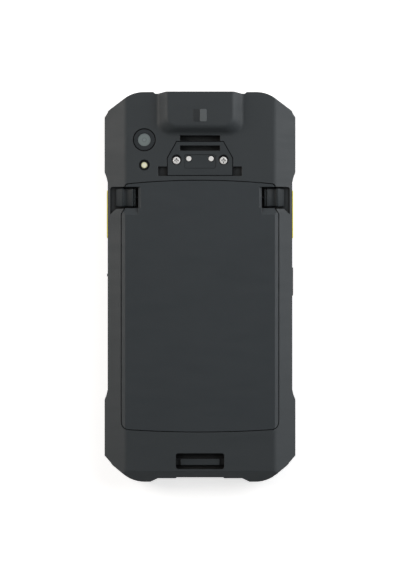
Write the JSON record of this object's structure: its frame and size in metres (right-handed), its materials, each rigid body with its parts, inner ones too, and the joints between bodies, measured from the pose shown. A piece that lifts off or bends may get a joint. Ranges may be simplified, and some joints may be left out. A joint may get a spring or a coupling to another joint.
{
  "type": "portable barcode data terminal",
  "caption": "Rugged handheld barcode data terminal with a scanner hump, side scan keys, rear camera, strap plate and a latched tilt-out battery.",
  "frame": {"origin": "under the middle of the case, on the surface that the screen side rests on", "axes": "+X across the back to the right as seen from behind, +Y towards the scanner end, +Z out of the back"},
  "size_m": [0.079, 0.161, 0.0171],
  "materials": {
    "housing": "fine spark-eroded charcoal grain",
    "battery_shell": "very fine charcoal grain, a little smoother",
    "bezel": "near-black fine grain",
    "tray": "black satin",
    "plate": "charcoal satin",
    "trim_black": "black semi-gloss",
    "latch_black": "dark satin, worn edge",
    "key_yellow": "yellow satin",
    "key_black": "black satin",
    "screen_glass": "black-bordered cover glass",
    "window_glass": "dark red-black filter",
    "lens_glass": "coated lens cover",
    "flash_lens": "cloudy cream lens",
    "seal_rubber": "soft black",
    "frame_metal": "cast, matt",
    "screw_steel": "bright",
    "spring_steel": "drawn wire",
    "contact_gold": "plated",
    "shield_steel": "tinned can",
    "port_steel": "drawn shell",
    "board": "green solder mask",
    "flex": "amber film",
    "display": "panel",
    "inner_black": "moulded",
    "cell_wrap": "foil pouch",
    "bar_plastic": "charcoal satin"
  },
  "bodies": {
    "case": {"rear_housing": "housing", "front_bezel": "bezel", "housing_seal": "seal_rubber", "touch_glass": "screen_glass", "display_panel": "display", "display_gasket": "seal_rubber", "receiver_speaker": "inner_black", "front_camera": "inner_black", "mid_frame": "frame_metal", "housing_screws": "screw_steel", "main_board": "board", "main_board_shields": "shield_steel", "lower_board": "board", "board_flex": "flex", "usb_c_port": "port_steel", "scan_engine_bracket": "frame_metal", "scan_engine": "inner_black", "scan_window": "window_glass", "rear_camera": "inner_black", "camera_ring": "trim_black", "camera_lens": "lens_glass", "flash_bezel": "trim_black", "flash_lens": "flash_lens", "flash_led": "inner_black", "loudspeaker": "inner_black", "vibration_motor": "screw_steel", "antenna": "contact_gold", "battery_connector": "inner_black", "strap_bar": "bar_plastic", "strap_plate": "plate", "strap_plate_screws": "screw_steel", "contact_block": "trim_black", "rear_contacts": "contact_gold", "side_switches_right": "flex", "side_switches_left": "flex"},
    "battery": {"battery_cover": "battery_shell", "battery_tray": "tray", "battery_cell": "cell_wrap", "battery_circuit": "board", "battery_contacts": "contact_gold"},
    "latch_left_slider": {"latch_left": "latch_black", "latch_spring_left": "spring_steel"},
    "latch_right_slider": {"latch_right": "latch_black", "latch_spring_right": "spring_steel"},
    "scan_key_left_cap": {"scan_key_left": "key_yellow"},
    "scan_key_right_cap": {"scan_key_right": "key_yellow"},
    "power_key_cap": {"power_key": "key_black"},
    "volume_rocker_cap": {"volume_rocker": "key_black"}
  },
  "joints": [
    {"name": "battery_tilt", "type": "hinge", "parent": "case", "child": "battery", "pos_m": [0, -0.05982, 0.0137], "axis": [1, 0, 0], "range_deg": [0, 35]},
    {"name": "latch_left_slide", "type": "slide", "parent": "battery", "child": "latch_left_slider", "axis": [1, 0, 0], "range_m": [0, 0.001], "stiffness_N_per_m": 1500, "springref_m": -0.001},
    {"name": "latch_right_slide", "type": "slide", "parent": "battery", "child": "latch_right_slider", "axis": [-1, 0, 0], "range_m": [0, 0.001], "stiffness_N_per_m": 1500, "springref_m": -0.001},
    {"name": "scan_key_left_press", "type": "slide", "parent": "case", "child": "scan_key_left_cap", "axis": [1, 0, 0], "range_m": [0, 0.0004], "stiffness_N_per_m": 1500, "springref_m": -0.0004},
    {"name": "scan_key_right_press", "type": "slide", "parent": "case", "child": "scan_key_right_cap", "axis": [-1, 0, 0], "range_m": [0, 0.0004], "stiffness_N_per_m": 1500, "springref_m": -0.0004},
    {"name": "power_key_press", "type": "slide", "parent": "case", "child": "power_key_cap", "axis": [-1, 0, 0], "range_m": [0, 0.0004], "stiffness_N_per_m": 1500, "springref_m": -0.0004},
    {"name": "volume_rocker_tilt", "type": "hinge", "parent": "case", "child": "volume_rocker_cap", "pos_m": [-0.0364, 0.005, 0.00645], "axis": [0, 0, 1], "range_deg": [-2.5, 2.5], "stiffness_Nm_per_rad": 0.2}
  ]
}
